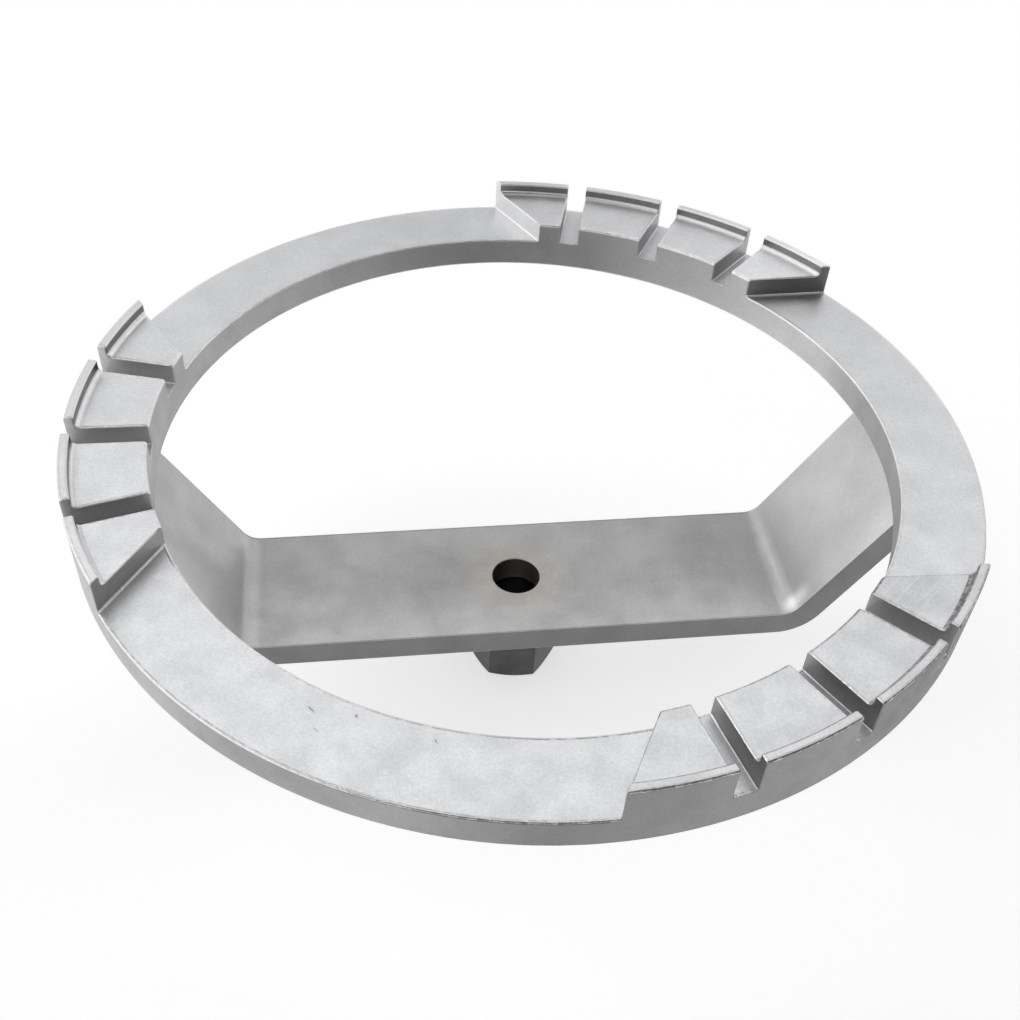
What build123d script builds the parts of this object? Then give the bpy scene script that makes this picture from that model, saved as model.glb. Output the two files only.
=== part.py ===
from build123d import *
import math
import os

# Fuel tank cap wrench: a castellated ring that grips a large lock ring, carried by a bent
# flat bar with a hexagonal boss that a 17 mm socket or spanner turns.
# Millimetres, +Z up, teeth up. The origin is where the turning axis meets the boss's lower
# face, which the wrench stands on. The bar runs along X.

# Tooth ring
ring_outer_diameter = 170.0
ring_radial_width = 15.0
ring_thickness = 6.4
tooth_height = 4.3
lip_height = 2.5
lip_thickness = 1.8
lip_root_radius = 1.0
lip_edge_chamfer = 0.4
ring_edge_chamfer = 0.4
tooth_groups = 3
group_rim_angle = 56.0
group_bore_angle = 41.2
end_face_root_radius = 0.8
channel_overrun = 1.0
slots_per_group = 3
slot_pitch_angle = 15.0
slot_width = 4.2
ring_turn = -0.7

# Bridge strap
strap_width = 31.2
strap_thickness = 5.7
strap_drop = 32.0
strap_foot_inset = 5.2
strap_leg_angle = 59.0
strap_bend_radius = 4.3

# Drive boss
boss_across_flats = 17.0
boss_sides = 6
boss_length = 17.6
boss_turn = -7.3
boss_face_inset = 0.4
boss_chamfer_angle = 30.0
drive_bore_diameter = 10.0
bore_mouth_chamfer = 0.5

# Welds
inner_weld_leg = 3.0
inner_weld_end_gap = 1.6
outer_weld_leg = 1.6
outer_weld_end_gap = 4.1
weld_bulge = 0.4
boss_weld_leg = 2.2
boss_weld_depth = 3.4
boss_weld_root_overlap = 0.5

# Heights that follow from the sizes above
strap_bottom_height = boss_length
strap_top_height = strap_bottom_height + strap_thickness
ring_bottom_height = strap_top_height + strap_drop
low_surface_height = ring_bottom_height + ring_thickness
land_height = low_surface_height + tooth_height
lip_top_height = land_height + lip_height

# Radii and angles of the tooth ring
ring_outer_radius = ring_outer_diameter / 2
ring_inner_radius = ring_outer_radius - ring_radial_width
lip_inner_radius = ring_outer_radius - lip_thickness
ring_middle_radius = (ring_outer_radius + ring_inner_radius) / 2
group_step_angle = 360.0 / tooth_groups
first_group_angle = ring_turn + group_step_angle / 2
group_angles = [first_group_angle + group_step_angle * i for i in range(tooth_groups)]


def polar(radius, angle):
    """Point of the plane at this radius and at this angle in degrees."""
    return (radius * math.cos(math.radians(angle)), radius * math.sin(math.radians(angle)))


def beyond(start, end, share):
    """Point on the line from start to end, carried past the end by this share of its length."""
    return tuple(b + (b - a) * share for a, b in zip(start, end))


os.makedirs("parts", exist_ok=True)

# The tooth ring is one machined piece. Its section has a flat land for the teeth and a thin
# upright lip round the rim, with a small radius at the lip's root.
with BuildPart() as tooth_ring:
    with BuildSketch(Plane.XZ) as ring_section:
        with BuildLine():
            Polyline(
                (ring_inner_radius, ring_bottom_height),
                (ring_outer_radius, ring_bottom_height),
                (ring_outer_radius, lip_top_height),
                (lip_inner_radius, lip_top_height),
                (lip_inner_radius, land_height),
                (ring_inner_radius, land_height),
                close=True,
            )
        make_face()
        lip_corners = ring_section.vertices().sort_by(Axis.Y)[-2:]
        chamfer(lip_corners, length=lip_edge_chamfer)
        lip_wall_points = ring_section.vertices().filter_by_position(
            Axis.X, lip_inner_radius, lip_inner_radius
        )
        fillet(lip_wall_points.sort_by(Axis.Y)[0], radius=lip_root_radius)
        bore_corners = ring_section.vertices().group_by(Axis.X)[0]
        underside_rim_corner = ring_section.vertices().group_by(Axis.Y)[0].sort_by(Axis.X)[-1]
        chamfer(bore_corners + [underside_rim_corner], length=ring_edge_chamfer)
    revolve(axis=Axis.Z)

    # Between the groups a tapered channel is milled down to the low surface, which leaves the
    # slanted end faces of each group.
    half_gap_at_rim = (group_step_angle - group_rim_angle) / 2
    half_gap_at_bore = (group_step_angle - group_bore_angle) / 2
    rim_point = polar(ring_outer_radius, half_gap_at_rim)
    bore_point = polar(ring_inner_radius, half_gap_at_bore)
    outer_point = beyond(bore_point, rim_point, channel_overrun)
    inner_point = beyond(rim_point, bore_point, channel_overrun)
    with BuildSketch(Plane.XY.offset(low_surface_height)):
        with PolarLocations(0, tooth_groups, start_angle=ring_turn):
            Polygon(
                inner_point,
                outer_point,
                (outer_point[0], -outer_point[1]),
                (inner_point[0], -inner_point[1]),
                align=None,
            )
    extrude(amount=tooth_height + lip_height, mode=Mode.SUBTRACT)
    end_face_roots = (
        tooth_ring.edges()
        .filter_by(GeomType.LINE)
        .filter_by_position(Axis.Z, low_surface_height, low_surface_height)
    )
    fillet(end_face_roots, radius=end_face_root_radius)

    # Radial slots split each group into its teeth, down to the low surface.
    with BuildSketch(Plane.XY.offset(low_surface_height)):
        for group_angle in group_angles:
            with PolarLocations(
                ring_middle_radius,
                slots_per_group,
                start_angle=group_angle - slot_pitch_angle * (slots_per_group - 1) / 2,
                angular_range=slot_pitch_angle * (slots_per_group - 1),
                endpoint=True,
            ):
                Rectangle(2 * ring_radial_width, slot_width)
    extrude(amount=tooth_height + lip_height, mode=Mode.SUBTRACT)

tooth_ring.part.label = "tooth_ring"
export_step(tooth_ring.part, "parts/tooth_ring.step")

# The strap is a flat bar bent twice. Its legs rise outwards and end flat on the ring's underside.
# Each foot starts a little outside the ring's bore, so the ring covers it all.
leg_slope = math.tan(math.radians(strap_leg_angle))
leg_top_reach = ring_inner_radius + strap_foot_inset
strap_bend_distance = leg_top_reach - strap_drop / leg_slope
leg_foot_width = strap_thickness / math.sin(math.radians(strap_leg_angle))
leg_bottom_reach = leg_top_reach + leg_foot_width
bend_corner_shift = strap_thickness * math.tan(math.radians(strap_leg_angle / 2))
underside_bend_distance = strap_bend_distance + bend_corner_shift

with BuildPart() as bridge_strap:
    with BuildSketch(Plane.XZ) as strap_outline:
        with BuildLine():
            Polyline(
                (-leg_top_reach, ring_bottom_height),
                (-strap_bend_distance, strap_top_height),
                (strap_bend_distance, strap_top_height),
                (leg_top_reach, ring_bottom_height),
                (leg_bottom_reach, ring_bottom_height),
                (underside_bend_distance, strap_bottom_height),
                (-underside_bend_distance, strap_bottom_height),
                (-leg_bottom_reach, ring_bottom_height),
                close=True,
            )
        make_face()
        upper_bends = strap_outline.vertices().filter_by_position(
            Axis.Y, strap_top_height, strap_top_height
        )
        fillet(upper_bends, radius=strap_bend_radius)
        lower_bends = strap_outline.vertices().filter_by_position(
            Axis.Y, strap_bottom_height, strap_bottom_height
        )
        fillet(lower_bends, radius=strap_bend_radius + strap_thickness)
    extrude(amount=strap_width / 2, both=True)
    with Locations((0, 0, strap_top_height)):
        Hole(radius=drive_bore_diameter / 2)

bridge_strap.part.label = "bridge_strap"
export_step(bridge_strap.part, "parts/bridge_strap.step")

# The boss is a piece of hexagonal bar, drilled through, with its lower corners turned off.
boss_corner_radius = boss_across_flats / 2 / math.cos(math.radians(180.0 / boss_sides))
boss_face_radius = boss_across_flats / 2 - boss_face_inset
boss_chamfer_height = (boss_corner_radius - boss_face_radius) * math.tan(math.radians(boss_chamfer_angle))

with BuildPart() as drive_boss:
    with BuildSketch():
        RegularPolygon(boss_across_flats / 2, boss_sides, major_radius=False, rotation=boss_turn)
    extrude(amount=boss_length)
    with BuildSketch(Plane.XZ):
        with BuildLine():
            Polyline(
                (0, 0),
                (boss_face_radius, 0),
                (boss_corner_radius, boss_chamfer_height),
                (boss_corner_radius, boss_length),
                (0, boss_length),
                close=True,
            )
        make_face()
    revolve(axis=Axis.Z, mode=Mode.INTERSECT)
    with Locations((0, 0, boss_length)):
        Hole(radius=drive_bore_diameter / 2)
    bore_mouth = drive_boss.edges().filter_by(GeomType.CIRCLE).filter_by(
        lambda edge: edge.radius < boss_face_radius
    )
    chamfer(bore_mouth.sort_by(Axis.Z)[0], length=bore_mouth_chamfer)

drive_boss.part.label = "drive_boss"
export_step(drive_boss.part, "parts/drive_boss.step")

# A round fillet weld joins the boss to the strap's underside.
with BuildPart() as boss_weld:
    weld_outer_point = (boss_corner_radius + boss_weld_leg, strap_bottom_height)
    weld_root_radius = boss_across_flats / 2 - boss_weld_root_overlap
    weld_lower_point = (weld_root_radius, strap_bottom_height - boss_weld_depth)
    weld_middle_point = (
        (weld_outer_point[0] + weld_lower_point[0]) / 2 + weld_bulge,
        (weld_outer_point[1] + weld_lower_point[1]) / 2 - weld_bulge,
    )
    with BuildSketch(Plane.XZ):
        with BuildLine():
            ThreePointArc(weld_outer_point, weld_middle_point, weld_lower_point)
            Polyline(
                weld_lower_point,
                (drive_bore_diameter / 2, weld_lower_point[1]),
                (drive_bore_diameter / 2, strap_bottom_height),
                weld_outer_point,
            )
        make_face()
    revolve(axis=Axis.Z)
    with BuildSketch():
        RegularPolygon(boss_across_flats / 2, boss_sides, major_radius=False, rotation=boss_turn)
    extrude(amount=boss_length, mode=Mode.SUBTRACT)

boss_weld.part.label = "boss_weld"
export_step(boss_weld.part, "parts/boss_weld.step")


def weld_bead(corner, ring_end, leg_end, length):
    """Fillet weld along Y, in the corner between the ring's underside and a face of the leg."""
    middle = tuple((a + b) / 2 for a, b in zip(ring_end, leg_end))
    outward = tuple(m - c for m, c in zip(middle, corner))
    reach = math.hypot(*outward)
    crown = tuple(m + o / reach * weld_bulge for m, o in zip(middle, outward))
    with BuildPart() as bead:
        with BuildSketch(Plane.XZ):
            with BuildLine():
                Polyline(ring_end, corner, leg_end)
                ThreePointArc(leg_end, crown, ring_end)
            make_face()
        extrude(amount=length / 2, both=True)
    return bead.part


def down_the_leg(point, distance):
    """Point reached from this one by going down along the right leg."""
    angle = math.radians(strap_leg_angle)
    return (point[0] - distance * math.cos(angle), point[1] - distance * math.sin(angle))


# Each leg has one weld on its inner face and one on its outer face.
inner_corner = (leg_top_reach, ring_bottom_height)
outer_corner = (leg_bottom_reach, ring_bottom_height)
inner_bead = weld_bead(
    inner_corner,
    (inner_corner[0] - inner_weld_leg, ring_bottom_height),
    down_the_leg(inner_corner, inner_weld_leg),
    strap_width - 2 * inner_weld_end_gap,
)
outer_bead = weld_bead(
    outer_corner,
    (outer_corner[0] + outer_weld_leg, ring_bottom_height),
    down_the_leg(outer_corner, outer_weld_leg),
    strap_width - 2 * outer_weld_end_gap,
)
for bead, side in ((inner_bead, "inner"), (outer_bead, "outer")):
    with BuildPart() as right_weld:
        add(bead)
    with BuildPart() as left_weld:
        add(bead)
        mirror(about=Plane.YZ, mode=Mode.REPLACE)
    right_weld.part.label = f"right_{side}_weld"
    left_weld.part.label = f"left_{side}_weld"
    export_step(right_weld.part, f"parts/right_{side}_weld.step")
    export_step(left_weld.part, f"parts/left_{side}_weld.step")
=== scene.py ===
# %% [markdown]
# This scene dresses a fuel tank cap wrench: a castellated steel ring with three groups of
# four teeth, a flat bar bent into a bridge under it, and a drilled hexagonal boss that a
# socket turns. The packed solids come first, as a fixed frame in metres with +Z up. Every
# finer mesh made below stands where its solid stands and rides on the same body.

# %% Load the frame
import math

import bmesh
import bpy
from mathutils import Matrix, Vector


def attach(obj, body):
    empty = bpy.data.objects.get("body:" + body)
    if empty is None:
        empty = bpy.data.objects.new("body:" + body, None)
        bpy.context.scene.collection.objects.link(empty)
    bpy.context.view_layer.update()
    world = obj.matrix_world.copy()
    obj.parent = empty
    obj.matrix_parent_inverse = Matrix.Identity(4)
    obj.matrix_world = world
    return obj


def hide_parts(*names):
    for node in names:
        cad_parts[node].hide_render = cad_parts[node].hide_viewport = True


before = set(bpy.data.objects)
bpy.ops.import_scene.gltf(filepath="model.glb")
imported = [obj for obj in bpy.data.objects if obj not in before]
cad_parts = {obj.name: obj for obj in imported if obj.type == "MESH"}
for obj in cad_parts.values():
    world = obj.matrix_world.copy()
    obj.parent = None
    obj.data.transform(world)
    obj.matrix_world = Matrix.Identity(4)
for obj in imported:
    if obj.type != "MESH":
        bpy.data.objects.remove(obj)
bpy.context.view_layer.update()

MM = 0.001
scene = bpy.context.scene
scene.view_settings.view_transform = "Standard"
print("solids:", ", ".join(sorted(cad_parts)))

# %% [markdown]
# The photograph looks down at about 45 degrees, from close by, so the near rim looks larger
# than the far one. The camera could be placed by eye. Here its place and turn come from a
# fit to the ring's two circles, the slots and the bar, which leaves most edges within about
# two pixels of the photograph. The small shift says that the picture was cropped a little
# off centre.

# %% Camera
camera_data = bpy.data.cameras.new("camera")
camera_data.sensor_width = 36.0
camera_data.lens = 43.4425
camera_data.shift_x = 0.02533
camera_data.shift_y = 0.03912
camera_data.clip_start = 0.01
camera = bpy.data.objects.new("camera", camera_data)
scene.collection.objects.link(camera)
camera.location = (-0.033230, -0.177663, 0.212541)
camera.rotation_euler = [math.radians(a) for a in (44.74494, -1.93357, -6.41821)]
scene.camera = camera
print("camera height above the floor in mm:", round(camera.location.z / MM, 1))

# %% [markdown]
# The object's own sizes, in millimetres, are the ones that the solids have. They are given
# names once, so that each mesh below is made from the same few numbers.

# %% Sizes
BOSS_LENGTH = 17.6
STRAP_THICKNESS = 5.7
STRAP_TOP = BOSS_LENGTH + STRAP_THICKNESS
RING_BOTTOM = STRAP_TOP + 32.0
LOW_SURFACE = RING_BOTTOM + 6.4
LAND = LOW_SURFACE + 4.3
LIP_TOP = LAND + 2.5
RIM_RADIUS = 85.0
BORE_RADIUS = 70.0
LIP_INNER_RADIUS = RIM_RADIUS - 1.8
RING_TURN = -0.7


def at(radius, angle, height=0.0):
    """Point at this radius in mm, angle in degrees and height in mm."""
    a = math.radians(angle)
    return Vector((radius * math.cos(a), radius * math.sin(a), height))


def arc(centre, radius, start, end, steps):
    """Points of an arc in the plane of a section, from one angle to another."""
    turn = [math.radians(start + (end - start) * i / steps) for i in range(steps + 1)]
    return [(centre[0] + radius * math.cos(t), centre[1] + radius * math.sin(t)) for t in turn]


def new_piece(name, mesh):
    """An object in the solids' frame that holds this mesh, which is in millimetres."""
    mesh.transform(Matrix.Scale(MM, 4))
    piece = bpy.data.objects.new(name, mesh)
    scene.collection.objects.link(piece)
    return piece


print("heights in mm:", RING_BOTTOM, LOW_SURFACE, LAND, LIP_TOP)

# %% [markdown]
# The ring is turned on a lathe before its teeth are milled: a flat ring with a thin raised
# lip at the rim. A lathe is copied best by spinning one closed section round the axis. The
# section already holds the small radius at the lip's root and the broken edges, so that
# they run right round as a turning tool leaves them.

# %% Turned blank of the ring
BLANK_STEPS = 552
RIM_BREAK = 0.4
LIP_OUTER_ROUND = 0.45
LIP_INNER_ROUND = 0.4
LIP_ROOT_RADIUS = 1.0
WALL_LINE = LOW_SURFACE - 0.6


def ring_section():
    """The section's points as pairs of radius and height, once round it."""
    section = [
        (BORE_RADIUS + RIM_BREAK, RING_BOTTOM),
        (RIM_RADIUS - RIM_BREAK, RING_BOTTOM),
        (RIM_RADIUS, RING_BOTTOM + RIM_BREAK),
        (RIM_RADIUS, WALL_LINE),
    ]
    outer_centre = (RIM_RADIUS - LIP_OUTER_ROUND, LIP_TOP - LIP_OUTER_ROUND)
    inner_centre = (LIP_INNER_RADIUS + LIP_INNER_ROUND, LIP_TOP - LIP_INNER_ROUND)
    root_centre = (LIP_INNER_RADIUS - LIP_ROOT_RADIUS, LAND + LIP_ROOT_RADIUS)
    section += arc(outer_centre, LIP_OUTER_ROUND, 0, 90, 4)
    section += arc(inner_centre, LIP_INNER_ROUND, 90, 180, 4)
    section += arc(root_centre, LIP_ROOT_RADIUS, 0, -90, 6)
    section += [
        (BORE_RADIUS + RIM_BREAK, LAND),
        (BORE_RADIUS, LAND - RIM_BREAK),
        (BORE_RADIUS, WALL_LINE),
        (BORE_RADIUS, RING_BOTTOM + RIM_BREAK),
    ]
    return section


def turned_blank():
    section = ring_section()
    bm = bmesh.new()
    turns = [RING_TURN + 360 * i / BLANK_STEPS for i in range(BLANK_STEPS)]
    loops = [[bm.verts.new(at(r, turn, z)) for r, z in section] for turn in turns]
    count = len(section)
    for i in range(BLANK_STEPS):
        here, there = loops[i], loops[(i + 1) % BLANK_STEPS]
        for j in range(count):
            k = (j + 1) % count
            bm.faces.new((here[j], there[j], there[k], here[k]))
    bmesh.ops.recalc_face_normals(bm, faces=bm.faces)
    mesh = bpy.data.meshes.new("tooth_ring_fine")
    bm.to_mesh(mesh)
    bm.free()
    return new_piece("tooth_ring_fine", mesh)


ring = turned_blank()
print("blank faces:", len(ring.data.polygons))

# %% [markdown]
# A milling cutter then clears three wide channels, which leaves the groups with slanted
# ends, and nine narrow slots, which part the teeth. The same cutters are made here as plain
# closed blocks and taken away with a Boolean modifier. The channels' lower corners along
# the end faces carry the cutter's own corner radius. The slots end a hair above the
# channels' floors, so that no two cutters share a plane.

# %% Milled channels and slots
GROUP_RIM_ANGLE = 56.0
GROUP_BORE_ANGLE = 41.2
SLOT_WIDTH = 4.2
SLOT_ANGLES = (-15, 0, 15)
SLOT_OVERRUN = 4.0
SLOT_LIFT = 0.002
CUT_HEIGHT = 9.0
CHANNEL_CORNER = 0.4


def block(bm, outline, low, high, round_edges=None):
    """A closed prism in bm over a flat outline; some of its lower edges may be rounded."""
    lower = [bm.verts.new((p.x, p.y, low)) for p in outline]
    upper = [bm.verts.new((p.x, p.y, high)) for p in outline]
    n = len(outline)
    bm.faces.new(lower[::-1])
    bm.faces.new(upper)
    for i in range(n):
        bm.faces.new((lower[i], lower[(i + 1) % n], upper[(i + 1) % n], upper[i]))
    if round_edges:
        bm.edges.ensure_lookup_table()
        chosen = [bm.edges.get((lower[i], lower[(i + 1) % n])) for i in round_edges]
        bmesh.ops.bevel(
            bm,
            geom=chosen,
            offset=CHANNEL_CORNER,
            segments=4,
            profile=0.5,
            affect="EDGES",
            clamp_overlap=False,
        )


def mill_channel(bm, centre):
    """One wide channel about this angle; each end face runs on past the bore and the rim."""
    ends = []
    for side in (-1, 1):
        rim = at(RIM_RADIUS, centre + side * (120 - GROUP_RIM_ANGLE) / 2)
        bore = at(BORE_RADIUS, centre + side * (120 - GROUP_BORE_ANGLE) / 2)
        ends.append((bore + (bore - rim), rim + (rim - bore)))
    outline = [ends[0][0], ends[0][1], ends[1][1], ends[1][0]]
    block(bm, outline, LOW_SURFACE, LOW_SURFACE + CUT_HEIGHT, round_edges=(0, 2))


def mill_slot(bm, angle):
    """One narrow slot that points to the axis at this angle, with parallel walls."""
    along = at(1, angle)
    across = at(1, angle + 90) * (SLOT_WIDTH / 2)
    inner, outer = along * (BORE_RADIUS - SLOT_OVERRUN), along * (RIM_RADIUS + SLOT_OVERRUN)
    outline = [inner - across, outer - across, outer + across, inner + across]
    block(bm, outline, LOW_SURFACE + SLOT_LIFT, LOW_SURFACE + CUT_HEIGHT)


def milling_cutters():
    bm = bmesh.new()
    for gap in range(3):
        mill_channel(bm, RING_TURN + 120 * gap)
    for group in range(3):
        for slot_angle in SLOT_ANGLES:
            mill_slot(bm, RING_TURN + 60 + 120 * group + slot_angle)
    mesh = bpy.data.meshes.new("milling_cutters")
    bm.to_mesh(mesh)
    bm.free()
    return new_piece("milling_cutters", mesh)


def cut_away(piece, cutters):
    """Takes the cutters' volume away from the piece, and applies the result to its mesh."""
    cut = piece.modifiers.new("cut", "BOOLEAN")
    cut.operation = "DIFFERENCE"
    cut.solver = "EXACT"
    cut.object = cutters
    graph = bpy.context.evaluated_depsgraph_get()
    mesh = bpy.data.meshes.new_from_object(piece.evaluated_get(graph))
    piece.modifiers.clear()
    old = piece.data
    piece.data = mesh
    bpy.data.meshes.remove(old)
    bpy.data.objects.remove(cutters)


cut_away(ring, milling_cutters())
print("faces after milling:", len(ring.data.polygons))

# %% [markdown]
# No steel edge is perfectly sharp: a file or a tumbler breaks it by a few tenths of a
# millimetre, and that narrow band catches the light. Only the slots' floors end at the bore
# and the rim with hardly any. A Bevel modifier makes both when it follows an edge weight,
# which is set here from each edge's fold and place. It needs clean faces, so lines across a
# flat top are taken out first. Weighted normals then keep the large faces flat and leave
# the bend to the narrow bands.

# %% Broken edges
EDGE_BREAK = 0.26
FLOOR_SHARE = 0.2
MERGE_REACH = 0.03
LEAST_LENGTH = 0.002
LEAST_FOLD = 38
FLAT_FOLD = 0.001
GROUP_REACH = 18


def is_near(value, goal, reach=0.06):
    return abs(value - goal) < reach


def ring_share(edge):
    """Share of the widest break for an edge of the ring."""
    spots = [v.co / MM for v in edge.verts]
    if not all(is_near(p.z, LOW_SURFACE, 0.05) for p in spots):
        return 1.0
    for circle in (RIM_RADIUS, BORE_RADIUS):
        if all(is_near(math.hypot(p.x, p.y), circle) for p in spots):
            turn = math.degrees(math.atan2(spots[0].y, spots[0].x)) - RING_TURN
            return FLOOR_SHARE if is_near(turn % 120, 60, GROUP_REACH) else 1.0
    return 1.0


def lines_across_flats(bm):
    """Edges that part two faces of one flat top."""
    return [
        edge
        for edge in bm.edges
        if edge.is_manifold
        and edge.calc_face_angle() < FLAT_FOLD
        and all(face.normal.z > 0.99 for face in edge.link_faces)
    ]


def break_edges(piece, width=EDGE_BREAK, segments=2, share=None):
    bm = bmesh.new()
    bm.from_mesh(piece.data)
    bmesh.ops.remove_doubles(bm, verts=bm.verts, dist=MERGE_REACH * MM)
    bmesh.ops.dissolve_degenerate(bm, edges=bm.edges, dist=LEAST_LENGTH * MM)
    bmesh.ops.dissolve_edges(bm, edges=lines_across_flats(bm), use_verts=False)
    weight = bm.edges.layers.float.new("bevel_weight_edge")
    broken = 0
    for edge in bm.edges:
        if edge.is_manifold and edge.calc_face_angle() > math.radians(LEAST_FOLD):
            edge[weight] = share(edge) if share else 1.0
            broken += 1
    bm.to_mesh(piece.data)
    bm.free()
    for polygon in piece.data.polygons:
        polygon.use_smooth = True
    bevel = piece.modifiers.new("broken_edges", "BEVEL")
    bevel.width = width * MM
    bevel.segments = segments
    bevel.limit_method = "WEIGHT"
    bevel.use_clamp_overlap = False
    normals = piece.modifiers.new("flat_faces", "WEIGHTED_NORMAL")
    normals.keep_sharp = False
    print(piece.name, "edges broken:", broken)


break_edges(ring, share=ring_share)
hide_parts("tooth_ring")
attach(ring, "root")

# %% [markdown]
# The bridge is one flat bar, bent cold in two places. Its side outline is drawn once, with
# the inner and outer bend arcs, and pulled across the bar's width. The hole is drilled
# through the middle with a Boolean modifier, as the ring's slots were.

# %% Bridge strap
STRAP_WIDTH = 31.2
LEG_ANGLE = 59.0
BEND_RADIUS = 4.3
FOOT_INSET = 5.2
BEND_DISTANCE = BORE_RADIUS + FOOT_INSET - (RING_BOTTOM - STRAP_TOP) / math.tan(math.radians(LEG_ANGLE))
HOLE_RADIUS = 5.0
DRILL_OVERRUN = 3.0
STRAP_BREAK = 0.22
BEND_STEPS = 12


def strap_outline():
    slope = math.radians(LEG_ANGLE)
    foot = BORE_RADIUS + FOOT_INSET
    outer_foot = foot + STRAP_THICKNESS / math.sin(slope)
    tangent = BEND_RADIUS * math.tan(slope / 2)
    centre = (BEND_DISTANCE - tangent, STRAP_TOP + BEND_RADIUS)
    inner = arc(centre, BEND_RADIUS, -90, -90 + LEG_ANGLE, BEND_STEPS)
    outer = arc(centre, BEND_RADIUS + STRAP_THICKNESS, -90, -90 + LEG_ANGLE, BEND_STEPS)
    right = inner + [(foot, RING_BOTTOM), (outer_foot, RING_BOTTOM)] + outer[::-1]
    left = [(-x, z) for x, z in right[::-1]]
    return right + left


def bent_bar():
    bm = bmesh.new()
    outline = strap_outline()
    near = [bm.verts.new((x, -STRAP_WIDTH / 2, z)) for x, z in outline]
    far = [bm.verts.new((x, STRAP_WIDTH / 2, z)) for x, z in outline]
    n = len(outline)
    bm.faces.new(near)
    bm.faces.new(far[::-1])
    for i in range(n):
        bm.faces.new((near[i], far[i], far[(i + 1) % n], near[(i + 1) % n]))
    bmesh.ops.recalc_face_normals(bm, faces=bm.faces)
    mesh = bpy.data.meshes.new("bridge_strap_fine")
    bm.to_mesh(mesh)
    bm.free()
    return new_piece("bridge_strap_fine", mesh)


def drill(radius, low, high, steps=96):
    bm = bmesh.new()
    block(bm, [at(radius, 360 * i / steps) for i in range(steps)], low, high)
    mesh = bpy.data.meshes.new("drill")
    bm.to_mesh(mesh)
    bm.free()
    return new_piece("drill", mesh)


strap = bent_bar()
cut_away(strap, drill(HOLE_RADIUS, BOSS_LENGTH - DRILL_OVERRUN, STRAP_TOP + DRILL_OVERRUN))
break_edges(strap, width=STRAP_BREAK, segments=3)
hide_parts("bridge_strap")
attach(strap, "root")
print("strap faces:", len(strap.data.polygons))

# %% [markdown]
# The boss is a short length of hexagonal bar, drilled through, with its lower corners
# turned off at 30 degrees. Its solid already has that shape, so it stays, and only gets
# its finish here.

# %% Boss
BOSS_ACROSS_FLATS = 17.0
BOSS_CORNER_RADIUS = BOSS_ACROSS_FLATS / 2 / math.cos(math.radians(30))
BOSS_TURN = -7.3
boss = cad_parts["drive_boss"]
print("boss corners in mm:", round(BOSS_CORNER_RADIUS, 2))

# %% [markdown]
# A weld bead is a row of small pools, each of which froze over the one before it. That
# leaves ripples like a fallen stack of coins. A bump map would do from afar, but a real bead
# also changes its outline, so its surface is built as rows of points: one row is the bead's
# section between its two toes, and a saw-like wave lifts it from pool to pool. The wave
# lags at the toes, where the metal froze first, and the toes wander a little.

# %% Bead surface
BEAD_STEPS = 12
POOL_LEAD = 0.55
POOL_LIFT = 0.16


def pool_wave(travel, across, pitch):
    """Height from 0 to 1 of the frozen pools at this travel in mm and place across the bead."""
    unevenness = 0.12 * math.sin(travel * 1.7)
    phase = (travel + POOL_LEAD * pitch * (1 - across**2)) / pitch + unevenness
    step = phase - math.floor(phase)
    return math.sin(math.pi * step**0.6) * (1 - across**4)


def bead_row(toe_a, toe_b, outward, bulge, travel, pitch):
    """Points across the bead from one toe to the other, which both stay where they are."""
    row = []
    for i in range(BEAD_STEPS + 1):
        across = 2 * i / BEAD_STEPS - 1
        crown = 1 - across**2
        rise = bulge * crown + POOL_LIFT * (pool_wave(travel, across, pitch) - 0.5) * crown
        row.append(toe_a.lerp(toe_b, (across + 1) / 2) + outward * rise)
    return row


def skin_rows(name, rows, round_trip=False):
    """A closed mesh over rows of points, where each row ends at the hidden corner of its bead."""
    bm = bmesh.new()
    loops = [[bm.verts.new(p) for p in row] for row in rows]
    n = len(loops[0])
    pairs = zip(loops, loops[1:] + loops[:1]) if round_trip else zip(loops, loops[1:])
    for here, there in pairs:
        for j in range(n):
            bm.faces.new((here[j], there[j], there[(j + 1) % n], here[(j + 1) % n]))
    if not round_trip:
        bm.faces.new(loops[0])
        bm.faces.new(loops[-1][::-1])
    bmesh.ops.recalc_face_normals(bm, faces=bm.faces)
    for face in bm.faces:
        face.smooth = True
    mesh = bpy.data.meshes.new(name)
    bm.to_mesh(mesh)
    bm.free()
    mesh.set_sharp_from_angle(angle=math.radians(50))
    return new_piece(name, mesh)


print("points across a bead:", BEAD_STEPS + 1)

# %% [markdown]
# Each leg has two beads, one on either face, laid along the corner that the leg makes with
# the ring's underside. The sections are drawn once for the right leg and mirrored for the
# left one. At its two ends a bead closes to a rounded tip, so the section shrinks into its
# corner there.

# %% Ring welds
INNER_WELD_LEG = 3.0
OUTER_WELD_LEG = 1.6
INNER_WELD_END = 1.6
OUTER_WELD_END = 4.1
WELD_BULGE = 0.34
POOL_PITCH = 1.45
ROW_PITCH = 0.24
TIP_SHARE = 0.6


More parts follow.
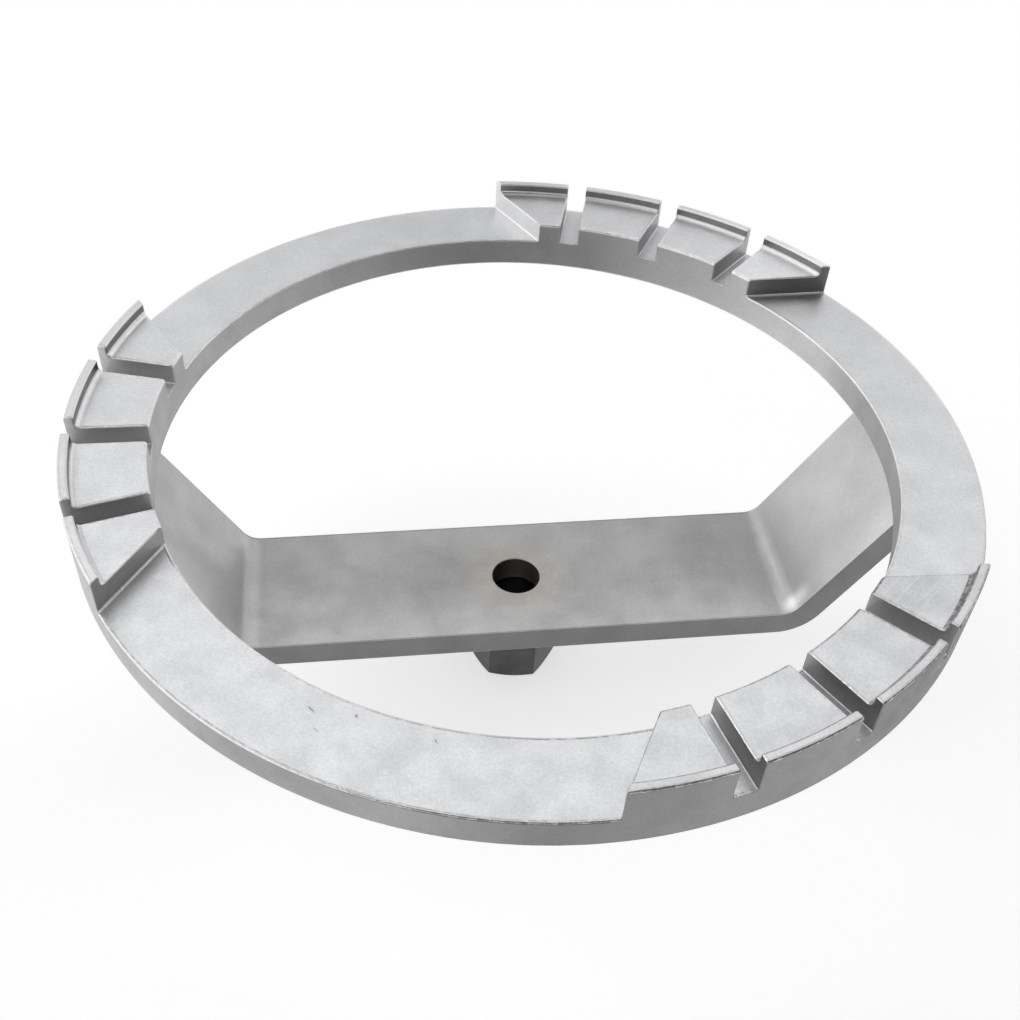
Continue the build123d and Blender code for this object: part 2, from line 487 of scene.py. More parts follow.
def ring_weld(name, corner_x, ring_reach, leg_reach, length, mirror, start):
    corner = Vector((corner_x, 0, RING_BOTTOM))
    ring_toe = corner + Vector((ring_reach, 0, 0))
    slope = math.radians(LEG_ANGLE)
    leg_toe = corner - Vector((math.cos(slope), 0, math.sin(slope))) * leg_reach
    outward = ((ring_toe + leg_toe) / 2 - corner).normalized()
    side = -1 if mirror else 1
    tip_length = leg_reach * TIP_SHARE
    count = round(length / ROW_PITCH)
    rows = []
    for i in range(count + 1):
        y = -length / 2 + length * i / count
        into_tip = max(0.0, abs(y) - (length / 2 - tip_length)) / tip_length
        wander = 1 + 0.03 * math.sin(0.9 * y + start)
        size = math.sqrt(max(0.02, 1 - into_tip**2)) * wander
        toe_a = corner + (ring_toe - corner) * size
        toe_b = corner + (leg_toe - corner) * size
        row = bead_row(toe_a, toe_b, outward, WELD_BULGE * size, y + start, POOL_PITCH)
        row.append(corner)
        rows.append([Vector((side * p.x, y, p.z)) for p in row])
    piece = skin_rows(name + "_fine", rows)
    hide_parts(name)
    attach(piece, "root")
    return piece


inner_corner = BORE_RADIUS + FOOT_INSET
outer_corner = inner_corner + STRAP_THICKNESS / math.sin(math.radians(LEG_ANGLE))
welds = []
for side, mirror, start in (("right", False, 0.3), ("left", True, 2.1)):
    inner_length = STRAP_WIDTH - 2 * INNER_WELD_END
    outer_length = STRAP_WIDTH - 2 * OUTER_WELD_END
    inner_name, outer_name = side + "_inner_weld", side + "_outer_weld"
    inner_legs = (-INNER_WELD_LEG, INNER_WELD_LEG)
    outer_legs = (OUTER_WELD_LEG, OUTER_WELD_LEG)
    welds.append(ring_weld(inner_name, inner_corner, *inner_legs, inner_length, mirror, start))
    welds.append(ring_weld(outer_name, outer_corner, *outer_legs, outer_length, mirror, start + 1))
print("ring welds:", ", ".join(w.name for w in welds))

# %% [markdown]
# The boss's bead runs once round the hexagon. Its outer toe is a circle on the bar's
# underside, and its lower toe follows the flats and corners, so it rises at each corner.

# %% Boss weld
BOSS_WELD_LEG = 2.2
BOSS_WELD_DEPTH = 3.4
BOSS_WELD_ROOT = BOSS_ACROSS_FLATS / 2 - 0.5
BOSS_WELD_POOLS = 46
TOE_WANDER = 0.06


def boss_weld(steps=360):
    outer = BOSS_CORNER_RADIUS + BOSS_WELD_LEG
    pitch = math.tau * outer / BOSS_WELD_POOLS
    slope = BOSS_WELD_DEPTH / (outer - BOSS_WELD_ROOT)
    rows = []
    for i in range(steps):
        angle = 360 * i / steps
        from_flat = (angle - BOSS_TURN) % 60 - 30
        hexagon = BOSS_ACROSS_FLATS / 2 / math.cos(math.radians(from_flat))
        lower = BOSS_LENGTH - BOSS_WELD_DEPTH + (hexagon - BOSS_WELD_ROOT) * slope
        wander = TOE_WANDER * math.sin(math.radians(5 * angle)) - TOE_WANDER
        toe_a = at(outer + wander, angle, BOSS_LENGTH)
        toe_b = at(hexagon, angle, lower)
        outward = (at(slope, angle) - Vector((0, 0, 1))).normalized()
        travel = math.radians(angle) * outer
        row = bead_row(toe_a, toe_b, outward, WELD_BULGE, travel, pitch)
        row.append(at(hexagon, angle, BOSS_LENGTH))
        rows.append(row)
    piece = skin_rows("boss_weld_fine", rows, round_trip=True)
    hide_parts("boss_weld")
    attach(piece, "root")
    return piece


welds.append(boss_weld())
print("boss weld faces:", len(welds[-1].data.polygons))

# %% [markdown]
# Satin steel is a metal with a fairly rough surface. Three things make it look real: slow
# changes of brightness from place to place, a fine speckle as on blasted steel, and edges
# that are lighter than the faces, partly from rubbing and partly as painted highlights. All
# come from nodes that read the object's own coordinates and normals, so they stay in place
# in every view. Small helpers keep each finish short to write.

# %% Helpers for the steel's nodes


class Finish:
    """A metal material whose colour, roughness and bump are built up step by step."""

    def __init__(self, name):
        self.material = bpy.data.materials.new(name)
        self.material.use_nodes = True
        self.tree = self.material.node_tree
        self.surface = self.tree.nodes["Principled BSDF"]
        self.surface.inputs["Metallic"].default_value = 1.0
        self.place = self.add("ShaderNodeTexCoord").outputs["Object"]
        self.normal = self.add("ShaderNodeNewGeometry").outputs["Normal"]

    def add(self, kind, inputs=None, **settings):
        node = self.tree.nodes.new(kind)
        for key, value in settings.items():
            setattr(node, key, value)
        for key, value in (inputs or {}).items():
            if isinstance(value, bpy.types.NodeSocket):
                self.tree.links.new(value, node.inputs[key])
            else:
                node.inputs[key].default_value = value
        return node

    def math(self, operation, *values):
        node = self.add("ShaderNodeMath", dict(enumerate(values)), operation=operation)
        return node.outputs["Value"]

    def product(self, *factors):
        total = factors[0]
        for factor in factors[1:]:
            total = self.math("MULTIPLY", total, factor)
        return total

    def dot(self, first, second):
        node = self.add("ShaderNodeVectorMath", {0: first, 1: second}, operation="DOT_PRODUCT")
        return node.outputs["Value"]

    def noise(self, size, detail=2.0, roughness=0.5, shift=0.0):
        """Noise from about 0 to 1 with features of this size in mm, read this far aside."""
        where = self.add("ShaderNodeMapping", {"Vector": self.place, "Location": (shift, shift, shift)})
        node = self.add(
            "ShaderNodeTexNoise",
            {
                "Vector": where.outputs["Vector"],
                "Scale": 1.0 / (size * MM),
                "Detail": detail,
                "Roughness": roughness,
            },
        )
        return node.outputs["Fac"]

    def streaks(self, size, heading, longer):
        """Noise drawn out along one heading in degrees, like the trails of a cutter."""
        where = self.add(
            "ShaderNodeMapping",
            {"Vector": self.place, "Rotation": (0, 0, math.radians(heading)), "Scale": (longer, 1, 1)},
            vector_type="TEXTURE",
        )
        node = self.add(
            "ShaderNodeTexNoise", {"Vector": where.outputs["Vector"], "Scale": 1.0 / (size * MM)}
        )
        return node.outputs["Fac"]

    def spot(self, x, y, length, width, heading=0.0, core=0.5):
        """1 inside an oval at this place in mm, on every height, and 0 outside it."""
        where = self.add(
            "ShaderNodeMapping",
            {
                "Vector": self.place,
                "Location": (x * MM, y * MM, 0),
                "Rotation": (0, 0, math.radians(heading)),
                "Scale": (length / 2 * MM, width / 2 * MM, 1000),
            },
            vector_type="TEXTURE",
        )
        reach = self.add("ShaderNodeVectorMath", {0: where.outputs["Vector"]}, operation="LENGTH")
        return self.fit(reach.outputs["Value"], core, 1.0, 1.0, 0.0)

    def most(self, masks):
        """The largest of these masks at each place."""
        total = masks[0]
        for mask in masks[1:]:
            total = self.math("MAXIMUM", total, mask)
        return total

    def shade(self, mask, amount):
        """A factor that is 1 outside the mask and this amount inside it."""
        return self.math("MULTIPLY_ADD", mask, amount - 1.0, 1.0)

    def fit(self, value, low, high, to_low=0.0, to_high=1.0):
        """The value's softened place between low and high, on the scale of the other two."""
        node = self.add(
            "ShaderNodeMapRange",
            {"Value": value, "From Min": low, "From Max": high, "To Min": to_low, "To Max": to_high},
            interpolation_type="SMOOTHSTEP",
        )
        return node.outputs["Result"]

    def mix(self, share, first, second):
        """Two colours mixed; sockets 0, 6 and 7 are the share and the colours."""
        node = self.add("ShaderNodeMix", data_type="RGBA")
        for socket, value in ((0, share), (6, first), (7, second)):
            if isinstance(value, bpy.types.NodeSocket):
                self.tree.links.new(value, node.inputs[socket])
            else:
                node.inputs[socket].default_value = value
        return node.outputs[2]

    def scale_colour(self, colour, amount):
        node = self.add("ShaderNodeVectorMath", operation="SCALE")
        self.tree.links.new(colour, node.inputs[0])
        self.tree.links.new(amount, node.inputs["Scale"])
        return node.outputs["Vector"]

    def ramp(self, value, stops):
        node = self.add("ShaderNodeValToRGB", {"Fac": value})
        elements = node.color_ramp.elements
        while len(elements) < len(stops):
            elements.new(0.5)
        for element, (position, level) in zip(elements, stops):
            element.position = position
            element.color = level
        return node.outputs["Color"]

    def done(self, colour, roughness, bump, height):
        """Joins the parts to the surface; the bump's height is in mm."""
        links = self.tree.links
        links.new(colour, self.surface.inputs["Base Color"])
        if isinstance(roughness, bpy.types.NodeSocket):
            links.new(roughness, self.surface.inputs["Roughness"])
        else:
            self.surface.inputs["Roughness"].default_value = roughness
        grain = self.add("ShaderNodeBump", {"Height": bump, "Strength": 1.0, "Distance": height * MM})
        links.new(grain.outputs["Normal"], self.surface.inputs["Normal"])
        return self.material


def grey(level, warmth=0.0):
    return (level * (1 + warmth), level, level * (1 - warmth), 1)


def shades(f, turn, stops):
    """Factor that follows these stops round the axis; the ramp holds half of each value."""
    colour = f.ramp(turn, [(position, grey(level / 2)) for position, level in stops])
    return f.math("MULTIPLY", colour, 2.0)


print("helpers:", ", ".join(name for name in vars(Finish) if not name.startswith("_")))

# %% [markdown]
# The ring has several kinds of face, and each has a shade of its own. A mask tells each kind
# from the others, so that one material serves the whole ring. Two numbers do most of the
# work: the height of the normal (1 on an upper face, 0 on a wall, and between them only on
# the broken edges and root radii), and how far the normal points away from the axis (1 on
# the rim, -1 on the bore and inside the lips, 0 on the slots' walls).

# %% Places on the ring
class RingPlaces:
    """Where a point of the ring lies; each mask is 1 on one kind of face or edge."""

    def __init__(self, f):
        spot = f.add("ShaderNodeSeparateXYZ", {"Vector": f.place})
        x, y = spot.outputs["X"], spot.outputs["Y"]
        flat = f.add("ShaderNodeCombineXYZ", {"X": x, "Y": y}).outputs["Vector"]
        outward = f.add("ShaderNodeVectorMath", {0: flat}, operation="NORMALIZE").outputs["Vector"]
        sideways = f.add("ShaderNodeVectorMath", {0: (0, 0, 1), 1: outward}, operation="CROSS_PRODUCT")
        self.radius = f.add("ShaderNodeVectorMath", {0: flat}, operation="LENGTH").outputs["Value"]
        self.turn = f.math("FRACT", f.math("DIVIDE", f.math("ARCTAN2", y, x), math.tau))
        self.up = f.math("ABSOLUTE", f.add("ShaderNodeSeparateXYZ", {"Vector": f.normal}).outputs["Z"])
        self.facing = f.dot(f.normal, outward)
        self.along = f.dot(f.normal, sideways.outputs["Vector"])
        self.tooth = f.fit(spot.outputs["Z"], (LOW_SURFACE + 1.5) * MM, (LOW_SURFACE + 2.5) * MM)
        self.find_faces(f)
        self.find_edges(f)

    def find_faces(self, f):
        self.top = f.fit(self.up, 0.08, 0.35)
        self.land = f.product(self.tooth, f.fit(self.up, 0.9, 0.97))
        under_lip = f.fit(self.radius, (BORE_RADIUS + 8) * MM, (BORE_RADIUS + 9) * MM)
        self.lip_wall = f.product(under_lip, f.fit(self.facing, -0.9, -0.8, 1.0, 0.0))
        inward = f.fit(self.facing, -0.95, -0.88, 1.0, 0.0)
        self.bore = f.product(inward, f.math("SUBTRACT", 1.0, self.lip_wall))
        self.rim = f.fit(self.facing, 0.8, 0.9)
        aside = f.fit(f.math("ABSOLUTE", self.facing), 0.7, 0.85, 1.0, 0.0)
        self.milled = f.product(aside, f.math("SUBTRACT", 1.0, self.top))

    def find_edges(self, f):
        self.edge = f.product(f.fit(self.up, 0.1, 0.3), f.fit(self.up, 0.9, 0.99, 1.0, 0.0))
        band = f.product(f.fit(self.up, 0.02, 0.1), f.fit(self.up, 0.93, 0.99, 1.0, 0.0))
        nibbled = f.fit(f.noise(1.1, 2, 0.6, shift=9.0), 0.42, 0.62, 1.0, 0.55)
        band = f.product(band, nibbled)
        outermost = f.fit(self.radius, (RIM_RADIUS - 1.2) * MM, (RIM_RADIUS - 0.9) * MM)
        self.rim_edge = f.product(band, f.fit(self.facing, 0.1, 0.25), outermost)
        inward = f.fit(self.facing, -0.3, -0.15, 1.0, 0.0)
        far_side = f.math("MAXIMUM", inward, f.fit(self.along, 0.3, 0.5))
        self.tooth_edge = f.product(band, far_side, self.tooth)


print("masks on the ring: top, land, lip wall, bore, rim, milled wall and three kinds of edge")

# %% [markdown]
# The upper faces are milled and blasted, and the lightest steel on the wrench. The walls get
# darker greys: machined walls are duller than blasted tops, and the rest of the difference is
# painted shade of the dark side of the photograph's own studio, which one picture can't tell
# apart from the finish. The broken edges and the root radii get lighter greys than the tops:
# painted highlights, and on the edges some rubbed wear as well. One material for each kind of
# face could hold these greys. Here two ramps over the normal mix them, so that they run into
# each other on the round corners as on real steel.

# %% Greys of the ring
TOP_TONE = 0.74
# Painted highlights: the root radii and, with some rubbed wear, the broken edges get lighter greys than the
# tops.
ROOT_HIGHLIGHT_TONE = 0.84
EDGE_WEAR_AND_HIGHLIGHT_TONE = 0.88
# Painted shade in part: these wall greys are darker than the tops for the dark studio in front as well as
# for their duller finish.
RIM_TONE = 0.285
BORE_TONE = 0.41
SLOT_TONE = 0.46
END_TONE = 0.48
LIP_WALL_TONE = 0.28


def ring_greys(f, on):
    walls = f.ramp(
        f.math("MULTIPLY_ADD", on.facing, 0.5, 0.5),
        [
            (0.0, grey(BORE_TONE)),
            (0.06, grey(BORE_TONE)),
            (0.12, grey(END_TONE)),
            (0.35, grey(END_TONE)),
            (0.42, grey(SLOT_TONE)),
            (0.60, grey(SLOT_TONE)),
            (0.9, grey(RIM_TONE)),
            (1.0, grey(RIM_TONE)),
        ],
    )
    walls = f.mix(on.lip_wall, walls, grey(LIP_WALL_TONE))
    top = grey(TOP_TONE, warmth=-0.008)
    tops = f.ramp(on.up, [(0.3, grey(ROOT_HIGHLIGHT_TONE)), (0.85, grey(EDGE_WEAR_AND_HIGHLIGHT_TONE)), (0.97, top), (1.0, top)])
    return f.mix(on.top, walls, tops)


print("greys from", RIM_TONE, "on the rim to", TOP_TONE, "on the upper faces")

# %% [markdown]
# In the photograph no face keeps one shade right round. Part of that is the finish, and
# part is the studio that the steel mirrored. These factors were set by comparing renders
# with the photograph, so they hold some of both. Copying that studio light by light would
# leave the steel plain, but its lamps would have to be guessed. A ramp over the turn about
# the axis holds each face's slow change: from 0 at the right, by way of the back at a
# quarter, round to 1. Each pair below is a turn and the factor there.

# %% Shades round the ring
LAND_SHADES = ((0.10, 1.32), (0.15, 1.1), (0.19, 1.11), (0.235, 0.98), (0.30, 1.0), (0.43, 1.0))
LAND_SHADES += ((0.48, 0.99), (0.52, 1.03), (0.57, 1.03), (0.76, 1.0), (0.86, 0.97), (0.895, 0.94))
BORE_SHADES = ((0.0, 0.87), (0.03, 1.0), (0.055, 1.5), (0.10, 1.49), (0.16, 1.15), (0.20, 0.8))
BORE_SHADES += ((0.26, 0.67), (0.32, 0.87), (0.38, 0.97), (0.46, 0.9), (0.60, 0.9))
BORE_SHADES += ((0.97, 0.9), (1.0, 0.85))
RIM_SHADES = ((0.0, 1.0), (0.45, 1.0), (0.56, 1.85), (0.61, 1.78), (0.63, 1.4), (0.65, 1.25))
RIM_SHADES += ((0.69, 1.37), (0.735, 0.85), (0.78, 0.98), (0.825, 0.96), (0.854, 0.6))
RIM_SHADES += ((0.887, 0.42), (0.93, 0.42), (1.0, 1.0))
MILLED_SHADES = ((0.085, 0.52), (0.112, 0.52), (0.118, 1.0), (0.215, 1.0), (0.222, 1.8), (0.25, 1.8))
MILLED_SHADES += ((0.30, 1.0), (0.45, 1.25), (0.465, 1.25), (0.49, 1.2), (0.51, 1.2), (0.54, 0.95))
MILLED_SHADES += ((0.60, 0.95), (0.62, 1.0), (0.76, 1.0), (0.775, 0.67), (0.80, 0.67), (0.82, 0.7))
MILLED_SHADES += ((0.85, 0.7), (0.865, 1.05), (0.90, 1.05))
# Painted shade: the two edge ramps darken the rim's broken edge along the front and the far edges of the
# front group's teeth.
RIM_EDGE_SHADES = ((0.0, 0.9), (0.50, 0.9), (0.66, 1.0), (0.68, 0.6), (0.70, 0.4), (0.93, 0.45))
RIM_EDGE_SHADES += ((1.0, 0.9),)
TOOTH_EDGE_SHADES = ((0.70, 1.0), (0.74, 0.5), (0.85, 0.5), (0.88, 0.3), (0.92, 0.3), (0.94, 1.0))


def ring_shades(f, on):
    tone = f.fit(f.noise(9, 4, 0.6), 0.3, 0.7, 0.96, 1.04)
    for mask, stops in (
        (on.land, LAND_SHADES),
        (on.bore, BORE_SHADES),
        (on.rim, RIM_SHADES),
        (on.milled, MILLED_SHADES),
        (on.rim_edge, RIM_EDGE_SHADES),
        (on.tooth_edge, TOOTH_EDGE_SHADES),
    ):
        change = f.math("SUBTRACT", shades(f, on.turn, stops), 1.0)
        tone = f.product(tone, f.math("MULTIPLY_ADD", change, mask, 1.0))
    speckle = f.fit(f.noise(0.45, 3, 0.7, shift=3.0), 0.25, 0.75, 0.92, 1.08)
    return f.product(tone, speckle)


print("stops on the bore's ramp:", len(BORE_SHADES))

# %% [markdown]
# The ring has been handled. A few dark nicks and small lighter flecks lie on its upper face at
# the front, and one tooth keeps the fine parallel trails of the milling cutter. A painted
# picture could hold them all, but each is so simple that an oval at its own place will do. A
# burr stands up along the bore, the rim and each slot, and rises towards its edge. It is too
# low to model, so only the bump shows it.

# %% Marks and burrs of the ring
BURR_WIDTH = 0.35
BURR_HEIGHT = 5.0
NICK_DEPTH = 3.0


def ring_nicks(f):
    return f.most(
        [
            f.spot(-41.5, -61.4, 1.9, 0.4, heading=-51),
            f.spot(-34.7, -63.3, 0.6, 0.7),
            f.spot(-23.1, -69.0, 0.35, 0.9, heading=20),
            f.spot(-40.9, -65.3, 1.6, 0.2, heading=-45),
        ]
    )


def ring_bright_flecks(f):
    return f.most(
        [
            f.spot(-17.6, -71.6, 0.4, 1.3, heading=15),
            f.spot(-20.6, -73.4, 0.3, 1.5, heading=-10),
            f.spot(-41.9, -62.0, 1.5, 0.25, heading=-51),
        ]
    )


def cutter_trails(f, on):
    trails = f.fit(f.streaks(0.55, 40, 22), 0.42, 0.62, 1.0, 0.0)
    return f.product(trails, f.spot(57.5, -48.0, 15, 15, core=0.45), on.land)


def ring_burr(f, on):
    near_bore, near_rim = BORE_RADIUS + EDGE_BREAK, RIM_RADIUS - EDGE_BREAK
    bore_burr = f.fit(on.radius, near_bore * MM, (near_bore + BURR_WIDTH) * MM, 1.0, 0.0)
    rim_burr = f.fit(on.radius, (near_rim - BURR_WIDTH) * MM, near_rim * MM)
    from_slot = f.math("SUBTRACT", on.turn, math.radians(RING_TURN) / math.tau)
    from_slot = f.math("SUBTRACT", f.math("FRACT", f.math("MULTIPLY_ADD", from_slot, 24.0, 0.5)), 0.5)
    from_slot = f.product(f.math("ABSOLUTE", from_slot), f.math("MULTIPLY", on.radius, math.tau / 24))
    slot_edge = SLOT_WIDTH / 2 + EDGE_BREAK
    slot_burr = f.fit(from_slot, slot_edge * MM, (slot_edge + BURR_WIDTH) * MM, 1.0, 0.0)
    burr = f.most([bore_burr, rim_burr, f.product(slot_burr, on.tooth)])
    uneven = f.fit(f.noise(1.3, 2, 0.6, shift=5.0), 0.35, 0.6, 0.35, 1.0)
    return f.product(burr, uneven, on.top)


print("burr width in mm:", BURR_WIDTH)

# %% [markdown]
# The ring's material joins these parts: its colour is the grey of the face times the shade
# and the marks, its roughness drifts slowly and drops on the broken edges, and its bump is a
# fine blasted grain with the burrs raised and the nicks sunk.

# %% Ring steel
def ring_steel():
    f = Finish("ring_steel")
    on = RingPlaces(f)
    nicks = ring_nicks(f)
    tone = f.product(ring_shades(f, on), f.product(f.shade(nicks, 0.6), f.shade(ring_bright_flecks(f), 1.12)))
    tone = f.product(tone, f.shade(cutter_trails(f, on), 0.9))
    rough = f.fit(f.noise(5, 4, 0.6, shift=7.0), 0.3, 0.7, 0.38, 0.48)
    rough = f.math("SUBTRACT", rough, f.math("MULTIPLY", on.edge, 0.05))
    grain = f.math("ADD", f.noise(0.35, 2, 0.6), f.math("MULTIPLY", f.noise(1.6, 2, 0.5), 0.6))
    grain = f.math("ADD", grain, f.math("MULTIPLY", ring_burr(f, on), BURR_HEIGHT))
    grain = f.math("SUBTRACT", grain, f.math("MULTIPLY", nicks, NICK_DEPTH))
    return f.done(f.scale_colour(ring_greys(f, on), tone), rough, grain, 0.02)


def dress(piece, material):
    piece.data.materials.clear()
    piece.data.materials.append(material)


dress(ring, ring_steel())
print("ring steel nodes:", len(ring.data.materials[0].node_tree.nodes))

# %% [markdown]
# The bar is ordinary flat stock, blasted with the rest, and given a darker grey than the
# ring; its sides are darker still, partly as painted shade. The faint straw tint round the
# hole is taken for the heat of the boss's weld below. Each bend carries a painted highlight:
# a narrow one on the right, which tapers towards the near edge and ends in a flare, and a
# softer one on the left. Two broad dull patches and the lighter right leg follow the
# photograph too: the patches are painted dark reflections, and the leg is lightened as
# painted light. The top also gets lighter towards its near edge.

# %% Bar steel
BAR_TOP_TONE = 0.46
BAR_SLOPE_TONE = 0.50
# Painted shade in part: the sides' grey is far darker than the top's.
BAR_SIDE_TONE = 0.185
STRAW = (0.52, 0.47, 0.41, 1)
HIGHLIGHT_LINE = BEND_DISTANCE - 0.3


def from_axis(f, x, y):
    return f.math("SQRT", f.math("ADD", f.math("MULTIPLY", x, x), f.math("MULTIPLY", y, y)))


def bar_colour(f, up, x, y):
    slope = grey(BAR_SLOPE_TONE)
    side = grey(BAR_SIDE_TONE)
    stops = [(0.0, side), (0.12, grey(0.19)), (0.3, slope), (0.7, slope), (1.0, grey(BAR_TOP_TONE))]
    face = f.ramp(f.math("ABSOLUTE", up), stops)
    heat = f.fit(from_axis(f, x, y), 6 * MM, 15 * MM, 1.0, 0.0)
    drift = f.fit(f.noise(7, 3), 0.3, 0.7, 0.5, 1.0)
    return f.mix(f.math("MULTIPLY", f.product(heat, drift), 0.45), face, STRAW)


# Painted highlights along both bends, with a flare on the right, and painted light on the right leg.
def bar_painted_highlights(f, up, x, y):
    near_edge, far_edge = -STRAP_WIDTH / 2, STRAP_WIDTH / 2
    wander = f.math("MULTIPLY", f.math("SUBTRACT", f.noise(2.2, 3, 0.6, shift=2.0), 0.5), 1.0 * MM)
    off_highlight_line = f.math("ABSOLUTE", f.math("ADD", f.math("SUBTRACT", x, HIGHLIGHT_LINE * MM), wander))
    half_width = f.fit(y, (near_edge + 1.6) * MM, far_edge * MM, 0.35 * MM, 0.8 * MM)
    right_bend_highlight = f.fit(f.math("DIVIDE", off_highlight_line, half_width), 0.2, 1.5, 1.0, 0.0)
    right_bend_highlight = f.product(right_bend_highlight, f.fit(y, -13 * MM, -6 * MM))
    left_bend_highlight = f.fit(f.math("ABSOLUTE", f.math("ADD", x, HIGHLIGHT_LINE * MM)), 0.2 * MM, 2.8 * MM, 1.0, 0.0)
    flare = f.spot(HIGHLIGHT_LINE + 1.2, -13.4, 6.5, 5.5, heading=40, core=0.0)
    painted_lights = f.product(f.shade(right_bend_highlight, 1.12), f.shade(left_bend_highlight, 1.2), f.shade(flare, 1.8))
    # Painted light: the right leg is made lighter.
    painted_lights = f.product(painted_lights, f.fit(x, 57 * MM, 66 * MM, 1.0, 1.27))
    upper = f.fit(up, 0.2, 0.4)
    return f.math("MULTIPLY_ADD", f.math("SUBTRACT", painted_lights, 1.0), upper, 1.0)


def bar_steel():
    f = Finish("bar_steel")
    up = f.add("ShaderNodeSeparateXYZ", {"Vector": f.normal}).outputs["Z"]
    spot = f.add("ShaderNodeSeparateXYZ", {"Vector": f.place})
    x, y = spot.outputs["X"], spot.outputs["Y"]
    tone = f.product(
        f.fit(f.noise(14, 4, 0.55), 0.3, 0.7, 0.95, 1.05),
        f.fit(f.noise(0.45, 3, 0.7, shift=3.0), 0.25, 0.75, 0.93, 1.07),
        # Painted dark reflections: two broad patches of the bar are made duller.
        f.shade(f.spot(-16, 2, 42, 26, core=0.1), 0.82),
        f.shade(f.spot(43, 3, 26, 28, core=0.2), 0.82),
        f.fit(y, -STRAP_WIDTH / 2 * MM, -6 * MM, 1.15, 1.0),
        bar_painted_highlights(f, up, x, y),
    )
    roughness = f.fit(f.noise(8, 4, 0.6, shift=7.0), 0.3, 0.7, 0.42, 0.54)
    far_edge = (STRAP_WIDTH / 2 - STRAP_BREAK) * MM
    burr = f.fit(y, far_edge - BURR_WIDTH * MM, far_edge)
    grain = f.math("ADD", f.noise(0.4, 3, 0.6), f.math("MULTIPLY", burr, BURR_HEIGHT))
    return f.done(f.scale_colour(bar_colour(f, up, x, y), tone), roughness, grain, 0.02)


dress(strap, bar_steel())
print("bar steel nodes:", len(strap.data.materials[0].node_tree.nodes))

# %% [markdown]
# The boss hangs under the bar, in its shade, and gets the darkest grey on the wrench: painted
# shade on top of the shadow it really gets. Its drilled bore is darker still, as painted shade
# inside the hole. The welds are dull, with a trace of straw.

# %% Boss and weld steel
# Painted shade: the boss and its bore get very dark greys.
BOSS_TONE = 0.09
BOSS_BORE_TONE = 0.014
WELD_TONE = 0.34
WELD_STRAW = (0.46, 0.42, 0.37, 1)


def boss_steel():
    f = Finish("boss_steel")
    spot = f.add("ShaderNodeSeparateXYZ", {"Vector": f.place})
    radius = from_axis(f, spot.outputs["X"], spot.outputs["Y"])
    bore = f.fit(radius, (HOLE_RADIUS + 0.1) * MM, (HOLE_RADIUS + 0.3) * MM, 1.0, 0.0)
    face = f.mix(bore, grey(BOSS_TONE), grey(BOSS_BORE_TONE))
    clouds = f.fit(f.noise(5, 4, 0.6), 0.3, 0.7, 0.85, 1.12)
    return f.done(f.scale_colour(face, clouds), 0.45, f.noise(0.4, 3, 0.6), 0.02)


def weld_steel():
    f = Finish("weld_steel")
    clouds = f.fit(f.noise(2.5, 4, 0.6), 0.3, 0.7)
    face = f.mix(clouds, grey(WELD_TONE), WELD_STRAW)
    return f.done(face, 0.48, f.noise(0.5, 3, 0.6), 0.03)


dress(boss, boss_steel())
weld_finish = weld_steel()
for weld in welds:
    dress(weld, weld_finish)
print("finishes:", ", ".join(sorted(m.name for m in bpy.data.materials)))

# %% [markdown]
# The wrench stands on a sheet of white paper that sweeps up all round, far away, so that no
# horizon shows in any view. The sweep is one profile spun round the axis. The photograph's
# background is pure white, so the paper adds a little white of its own to what the camera
# and the reflections see, and still takes the object's shadow.

# %% Paper floor
PAPER_GREY = 0.64
PAPER_GLOW = 0.6
FLAT_REACH = 1.6
SWEEP_RADIUS = 0.9


def paper_sweep(steps=96):
    """The sheet, in metres: a flat disc that turns up in an arc at its edge."""
    profile = [(0.6, 0.0), (FLAT_REACH, 0.0)]
    for rise in range(8, 81, 8):
        t = math.radians(rise)
        profile.append((FLAT_REACH + SWEEP_RADIUS * math.sin(t), SWEEP_RADIUS - SWEEP_RADIUS * math.cos(t)))
    bm = bmesh.new()
    centre = bm.verts.new((0, 0, 0))
    loops = []
    for i in range(steps):
        t = math.tau * i / steps
        loops.append([bm.verts.new((r * math.cos(t), r * math.sin(t), z)) for r, z in profile])
    for i in range(steps):
        here, there = loops[i], loops[(i + 1) % steps]
        bm.faces.new((centre, here[0], there[0]))
        for j in range(len(here) - 1):
            bm.faces.new((here[j], here[j + 1], there[j + 1], there[j]))
    for face in bm.faces:
        face.smooth = True
    mesh = bpy.data.meshes.new("paper_floor")
    bm.to_mesh(mesh)
    bm.free()
    paper_floor = bpy.data.objects.new("paper_floor", mesh)
    scene.collection.objects.link(paper_floor)
    return paper_floor


def white_paper():
    f = Finish("white_paper")
    f.surface.inputs["Metallic"].default_value = 0.0
    f.surface.inputs["Base Color"].default_value = grey(PAPER_GREY)
    f.surface.inputs["Roughness"].default_value = 0.9
    f.surface.inputs["Specular IOR Level"].default_value = 0.1
    f.surface.inputs["Emission Color"].default_value = (1, 1, 1, 1)
    path = f.add("ShaderNodeLightPath").outputs
    seen = f.math("MAXIMUM", path["Is Camera Ray"], path["Is Glossy Ray"])
    seen = f.math("MAXIMUM", seen, path["Is Transmission Ray"])
    f.tree.links.new(f.math("MULTIPLY", seen, PAPER_GLOW), f.surface.inputs["Emission Strength"])
    return f.material


floor = paper_sweep()
dress(floor, white_paper())
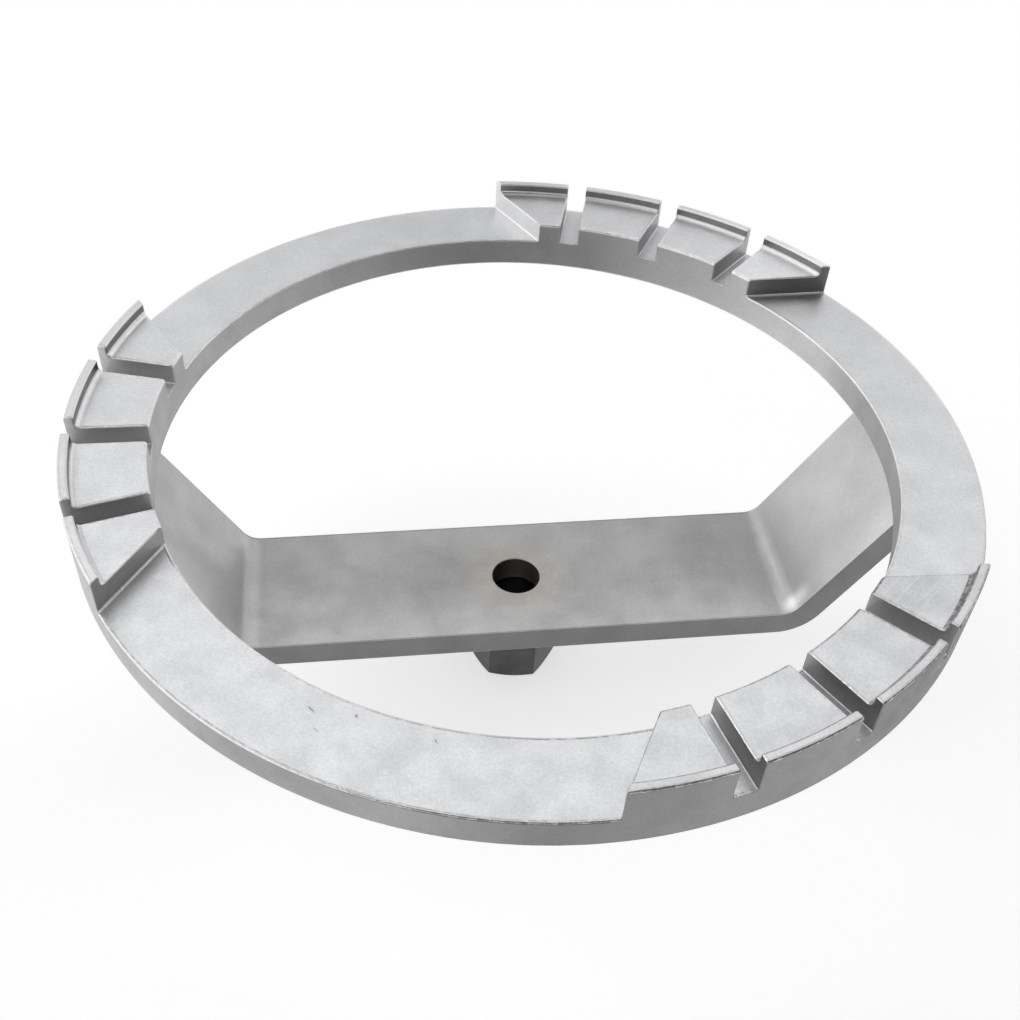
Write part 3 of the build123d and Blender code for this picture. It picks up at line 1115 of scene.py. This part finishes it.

# %% [markdown]
# The light is a plain soft studio: a room with pale walls behind and above the wrench, a
# wide, bright sheet on the left, and a dark room in front. The left sheet gives the walls
# that face it and the broken edges their shine, and the dark front gives the near walls
# their mid grey. A dimmer gap low behind keeps the flat tops from shining all over. The
# left sheet is wide and not very bright, since a smaller, brighter one burns the ring's tops
# out to white in a view from the right; with this one the plain tops hold their grey there,
# and the back group's tooth tops still burn out. The world's own direction says where each
# part of the light lies, so no lamp is needed.

# %% Light
world = bpy.data.worlds.new("studio")
world.use_nodes = True
scene.world = world
sky_nodes, sky_links = world.node_tree.nodes, world.node_tree.links
sky = sky_nodes["Background"]
sky.inputs["Color"].default_value = (1, 1, 1, 1)
direction = sky_nodes.new("ShaderNodeTexCoord").outputs["Generated"]


def soft_patch(azimuth, elevation, edge_angle, full_angle, strength):
    """Brightness that fades in towards one direction, from the edge to the full angle in degrees."""
    a, e = math.radians(azimuth), math.radians(elevation)
    dot = sky_nodes.new("ShaderNodeVectorMath")
    dot.operation = "DOT_PRODUCT"
    dot.inputs[1].default_value = (math.cos(e) * math.cos(a), math.cos(e) * math.sin(a), math.sin(e))
    sky_links.new(direction, dot.inputs[0])
    fade = sky_nodes.new("ShaderNodeMapRange")
    fade.interpolation_type = "SMOOTHSTEP"
    fade.inputs["From Min"].default_value = math.cos(math.radians(edge_angle))
    fade.inputs["From Max"].default_value = math.cos(math.radians(full_angle))
    fade.inputs["To Min"].default_value = 0.0
    fade.inputs["To Max"].default_value = strength
    sky_links.new(dot.outputs["Value"], fade.inputs["Value"])
    return fade.outputs["Result"]


def sum_of(patches):
    total = patches[0]
    for patch in patches[1:]:
        add = sky_nodes.new("ShaderNodeMath")
        sky_links.new(total, add.inputs[0])
        sky_links.new(patch, add.inputs[1])
        total = add.outputs["Value"]
    return total


back_walls = soft_patch(93.5, -21, 97.5, 87.7, 0.97)
ceiling = soft_patch(110, 85, 54, 30, 0.42)
left_sheet = soft_patch(196, 16, 55, 28, 0.95)
gap_behind = soft_patch(80, 22, 30, 12, -0.5)
sky_links.new(sum_of([back_walls, ceiling, left_sheet, gap_behind]), sky.inputs["Strength"])
print("sky nodes:", len(sky_nodes))
